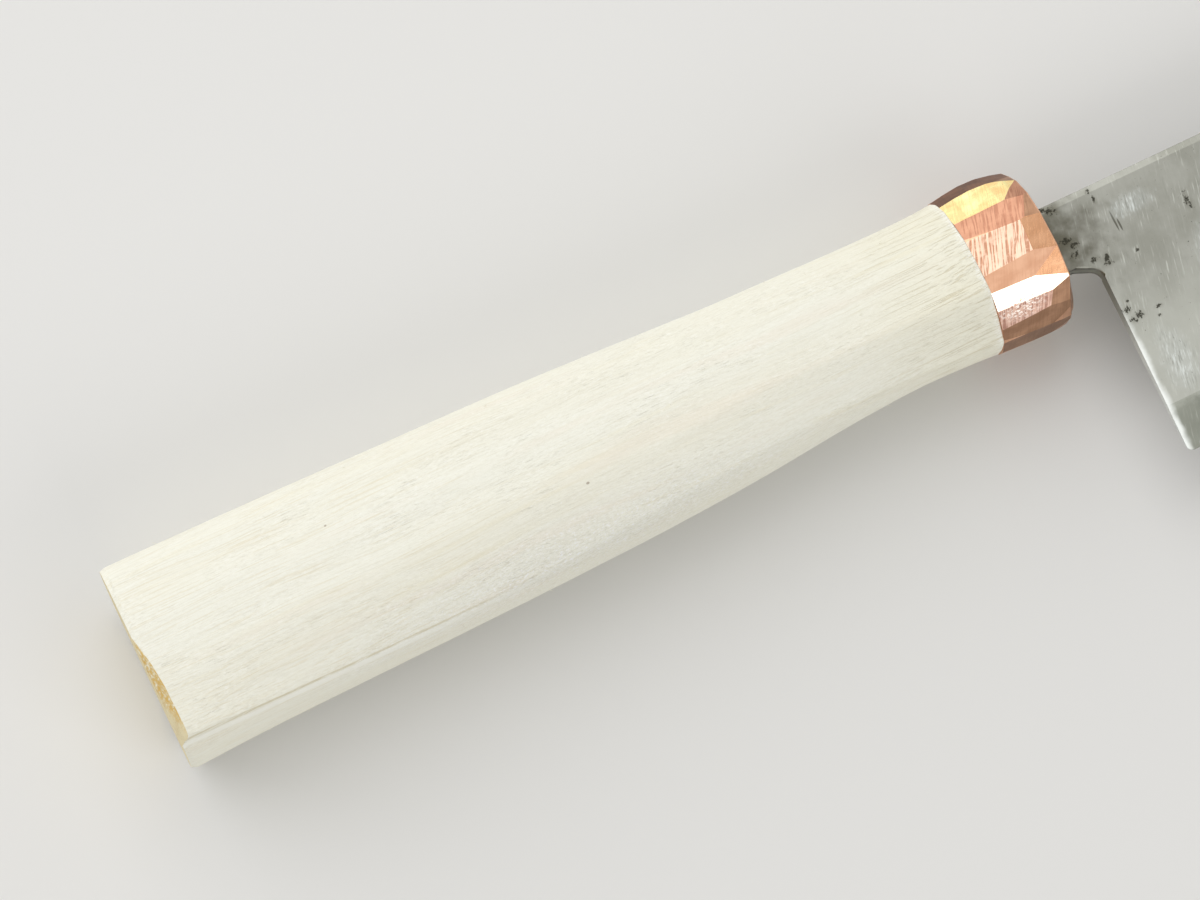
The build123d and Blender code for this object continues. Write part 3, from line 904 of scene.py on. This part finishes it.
    def cut_slot(self, grip):
        """Cut the tapered slot that the bedding fills."""
        bpy.ops.object.select_all(action="DESELECT")
        bpy.ops.mesh.primitive_cube_add(
            size=1, location=(BEDDING_LOW + BEDDING_HIGH) / 2 * MM)
        slot = bpy.context.object
        slot.dimensions = (BEDDING_HIGH - BEDDING_LOW) * MM
        bpy.ops.object.transform_apply(location=True, rotation=True, scale=True)
        bpy.ops.object.mode_set(mode="EDIT")
        pick(lambda face: face.normal.x < -0.9, "FACE")
        bpy.ops.transform.resize(value=(
            1, SLOT_BOTTOM[0] / SLOT_MOUTH[0], SLOT_BOTTOM[1] / SLOT_MOUTH[1]))
        bpy.ops.object.mode_set(mode="OBJECT")
        # A hair forward, so that the cut leaves no skin across the mouth
        slot.location.x = 0.01 * MM
        bpy.context.view_layer.update()
        cut_out(grip, slot)


class NAKIRI_OT_ferrule(bpy.types.Operator):
    """File the copper ferrule"""
    bl_idname = "nakiri.ferrule"
    bl_label = "File ferrule"

    def execute(self, context):
        lip = context.scene.nakiri_ferrule.lip
        half_y, half_z = COLLAR_HALF_Y, COLLAR_HALF_Z
        collar = add_rod("copper_ferrule", 128, JOINT_X, FRONT_X)
        scale_from_axis(JOINT_X, half_y, half_z)
        normals = []
        for angle, lean, depth, back, tone in FILED_FLATS:
            out = Vector((0, cos(radians(angle)), sin(radians(angle))))
            reach = ((half_y * out.y) ** 2 + (half_z * out.z) ** 2) ** 0.5 - depth
            normal = Vector((sin(radians(lean)), *(out.yz * cos(radians(lean)))))
            normals.append((normal, tone))
            cut_along(place(-back, *(out.yz * reach)), normal, drop=True)
        # Ease the front lip
        pick(lambda edge: at_x(edge, FRONT_X), "EDGE")
        bpy.ops.mesh.bevel(offset=lip, segments=3, profile=0.5, clamp_overlap=True)
        bpy.ops.object.mode_set(mode="OBJECT")
        # The oval bore
        bore = add_rod("bore", 96, JOINT_X - 1, FRONT_X + 1)
        scale_from_axis(JOINT_X, half_y - COLLAR_WALL, half_z - COLLAR_WALL)
        bpy.ops.object.mode_set(mode="OBJECT")
        cut_out(collar, bore)
        if len(collar.data.polygons) < 6 * len(FILED_FLATS):
            raise RuntimeError("The ferrule's flats weren't filed cleanly")
        finish_piece(collar, ["ferrule"],
                     [filed_copper(tone) for tone in COPPER_TONES])
        tones = list(COPPER_TONES)
        for polygon in collar.data.polygons:
            match, tone = max((normal.dot(polygon.normal), tone)
                              for normal, tone in normals)
            polygon.material_index = tones.index(tone if match > 0.9999 else "plain")
        pick_object(collar)
        self.swell(collar)
        bpy.ops.object.shade_smooth_by_angle(angle=radians(1))
        return {"FINISHED"}

    def swell(self, collar):
        """Crown the spine side, flatten the edge side and nip its front lip."""
        bpy.ops.object.mode_set(mode="EDIT")
        for behind, *_ in CROWN[1:-1]:
            cut_along(place(-behind, 0, 0), (1, 0, 0))
        mesh = bmesh.from_edit_mesh(collar.data)
        for vertex in mesh.verts:
            share_y = (vertex.co.y / MM - AXIS_Y) / COLLAR_HALF_Y
            share_z = (vertex.co.z / MM - AXIS_Z) / COLLAR_HALF_Z
            if share_y ** 2 + share_z ** 2 < SKIN_SHARE ** 2:
                continue
            turn = radians(turn_on_axis(vertex))
            spine, edge = (
                min(max((cos(turn - radians(middle)) - CROWN_NONE)
                        / (CROWN_FULL - CROWN_NONE), 0), 1)
                for middle in CROWN_MIDDLES)
            behind = FRONT_X - vertex.co.x / MM
            for near_row, far_row in zip(CROWN, CROWN[1:]):
                if near_row[0] - 0.01 <= behind <= far_row[0] + 0.01:
                    share = (behind - near_row[0]) / (far_row[0] - near_row[0])
                    out, under, back = (
                        start + (end - start) * share
                        for start, end in zip(near_row[1:], far_row[1:]))
                    # Outward is up on the spine side and down on the edge side
                    vertex.co.y += (spine * out - edge * under) * MM
                    vertex.co.x -= edge * back * MM
                    break
        bmesh.update_edit_mesh(collar.data)
        bpy.ops.object.mode_set(mode="OBJECT")


class NAKIRI_OT_blade(bpy.types.Operator):
    """Ease and polish the blade's layers"""
    bl_idname = "nakiri.blade"
    bl_label = "Finish blade"

    def execute(self, context):
        easing = context.scene.nakiri_blade.easing
        iron = ground_iron()
        layers = []
        for name, title, side in (("cladding_seen", "iron_layer_seen", 1),
                                  ("cladding_back", "iron_layer_back", -1)):
            layer = self.copy_node(name, title)
            self.level_neck(side)
            self.ease_rim(side, easing)
            finish_piece(layer, [name], [iron])
            layers.append(layer)
        core = self.copy_node("blade_core", "hard_core")
        bpy.ops.object.mode_set(mode="OBJECT")
        finish_piece(core, ["blade_core"], [honed_core()])
        for piece in (*layers, core):
            pick_object(piece)
            bpy.ops.object.shade_smooth_by_angle(angle=radians(30))
            apply_modifier(piece, "WEIGHTED_NORMAL", weight=100, keep_sharp=True)
        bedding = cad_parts["tang_bedding"]
        bedding.material_slots[0].material = set_resin()
        return {"FINISHED"}

    def copy_node(self, name, title):
        """A merged copy of a layer from the frame, in edit mode."""
        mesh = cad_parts[name].data.copy()
        mesh.materials.clear()
        piece = bpy.data.objects.new(title, mesh)
        mesh.name = title
        bpy.context.scene.collection.objects.link(piece)
        pick_object(piece)
        bpy.ops.object.mode_set(mode="EDIT")
        bpy.ops.mesh.select_mode(type="VERT")
        bpy.ops.mesh.select_all(action="SELECT")
        bpy.ops.mesh.remove_doubles(threshold=0.002 * MM)
        bpy.ops.mesh.dissolve_limited(angle_limit=radians(0.5))
        return piece

    def level_neck(self, side):
        """Bring the neck's outer face level with the blade's."""
        start, end = (FRONT_X + NECK_FROM) * MM, (FRONT_X + NECK_TO) * MM
        pick(lambda vertex: (vertex.co.z - AXIS_Z * MM) * side > NECK_SKIN * MM
             and start < vertex.co.x < end and not self.on_blade_face(vertex))
        bpy.ops.transform.translate(value=(0, 0, side * NECK_RELIEF * MM))
        # The step's short slivers are merged away
        bpy.ops.mesh.select_all(action="SELECT")
        bpy.ops.mesh.remove_doubles(threshold=0.05 * MM)
        bpy.ops.mesh.dissolve_limited(angle_limit=radians(0.5))

    def on_blade_face(self, vertex):
        """Whether a vertex already touches a face of the blade in front of the neck."""
        return any((FRONT_X + FACE_FROM) * MM < face.calc_center_median().x
                   and abs(face.normal.z) > 0.6 for face in vertex.link_faces)

    def ease_rim(self, side, easing):
        """Round the outer edge at the spine, the neck and the heel."""
        pick(lambda edge: len(edge.link_faces) == 2
             and min(vertex.co.x for vertex in edge.verts) > (FRONT_X + RIM_FROM) * MM
             and min((vertex.co.z - AXIS_Z * MM) * side for vertex in edge.verts)
             > RIM_SKIN * MM
             and edge.calc_face_angle() > radians(RIM_TURN), "EDGE")
        bpy.ops.mesh.bevel(offset=easing, segments=4, profile=0.5, clamp_overlap=False)
        bpy.ops.mesh.select_all(action="SELECT")
        bpy.ops.mesh.remove_doubles(threshold=0.01 * MM)
        bpy.ops.object.mode_set(mode="OBJECT")


class NAKIRI_OT_stage(bpy.types.Operator):
    """Set the floor, the lamps and the camera"""
    bl_idname = "nakiri.stage"
    bl_label = "Set stage"

    def execute(self, context):
        colour = tuple(context.scene.nakiri_stage.floor_colour) + (1.0,)
        bpy.ops.mesh.primitive_plane_add(size=6, location=(0, 0, 0))
        floor = bpy.context.object
        floor.name = "floor"
        floor.data.materials.append(new_material("studio_floor", colour, 0.0, 0.9)[0])
        self.light_world(context.scene)
        for lamp in LAMPS:
            self.add_lamp(*lamp)
        self.add_camera(context.scene)
        return {"FINISHED"}

    def light_world(self, scene):
        """Even soft light from all round, and a white room for the metal to show."""
        world = bpy.data.worlds.new("studio")
        world.use_nodes = True
        tree = world.node_tree
        background = tree.nodes["Background"]
        background.inputs["Color"].default_value = linear("#ffffff")
        shown = 0.0
        for ray in ("Is Camera Ray", "Is Glossy Ray", "Is Transmission Ray"):
            shown = add_node(tree, "Math", (shown, add_node(
                tree, "LightPath", output=ray)), operation="MAXIMUM")
        strength = add_node(tree, "Math", (shown, 1 - ROOM_LIGHT, ROOM_LIGHT),
                            operation="MULTIPLY_ADD")
        tree.links.new(strength, background.inputs["Strength"])
        scene.world = world

    def add_lamp(self, name, way, width, height, power):
        """A soft box that faces the knife."""
        lamp = bpy.data.lights.new(name, "AREA")
        lamp.shape = "RECTANGLE"
        lamp.size, lamp.size_y, lamp.energy = width, height, power
        box = bpy.data.objects.new(name, lamp)
        box.location = place(*LIT_POINT) + Vector(way)
        box.rotation_euler = Vector(way).to_track_quat("Z", "Y").to_euler()
        bpy.context.scene.collection.objects.link(box)

    def add_camera(self, scene):
        """The photograph's view: a long lens from above the butt end."""
        eye, target = place(*EYE), place(*TARGET)
        forward = (target - eye).normalized()
        right = (Vector((1, 0, 0)) - forward * forward.x).normalized()
        up = right.cross(forward)
        side = right * cos(ROLL) - up * sin(ROLL)
        over = right * sin(ROLL) + up * cos(ROLL)
        camera = bpy.data.cameras.new("camera")
        camera.lens, camera.sensor_width = LENS, SENSOR
        holder = bpy.data.objects.new("camera", camera)
        turn = Matrix((side, over, -forward)).transposed()
        holder.matrix_world = Matrix.Translation(eye) @ turn.to_4x4()
        scene.collection.objects.link(holder)
        scene.camera = holder


class NAKIRI_PT_panel(bpy.types.Panel):
    """The knife's sizes, colours and steps"""
    bl_idname = "NAKIRI_PT_panel"
    bl_label = "Nakiri knife"
    bl_space_type = "VIEW_3D"
    bl_region_type = "UI"
    bl_category = "Nakiri"

    def draw(self, context):
        for group in GROUPS:
            settings = getattr(context.scene, group)
            for name in settings.__annotations__:
                self.layout.prop(settings, name)
        for step in STEPS:
            self.layout.operator(step.bl_idname)


GROUPS = {"nakiri_grip": GripSettings, "nakiri_ferrule": FerruleSettings,
          "nakiri_blade": BladeSettings, "nakiri_stage": StageSettings}
STEPS = (NAKIRI_OT_grip, NAKIRI_OT_ferrule, NAKIRI_OT_blade, NAKIRI_OT_stage)


def register():
    for kind in (*GROUPS.values(), *STEPS, NAKIRI_PT_panel):
        bpy.utils.register_class(kind)
    for name, kind in GROUPS.items():
        setattr(bpy.types.Scene, name, bpy.props.PointerProperty(type=kind))


def unregister():
    for name in GROUPS:
        delattr(bpy.types.Scene, name)
    for kind in (NAKIRI_PT_panel, *STEPS, *GROUPS.values()):
        bpy.utils.unregister_class(kind)


def main():
    """Register the steps and run them in order."""
    register()
    bpy.ops.nakiri.grip()
    bpy.ops.nakiri.ferrule()
    bpy.ops.nakiri.blade()
    bpy.ops.nakiri.stage()
    bpy.context.scene.view_settings.view_transform = "Standard"


if __name__ == "__main__":
    main()
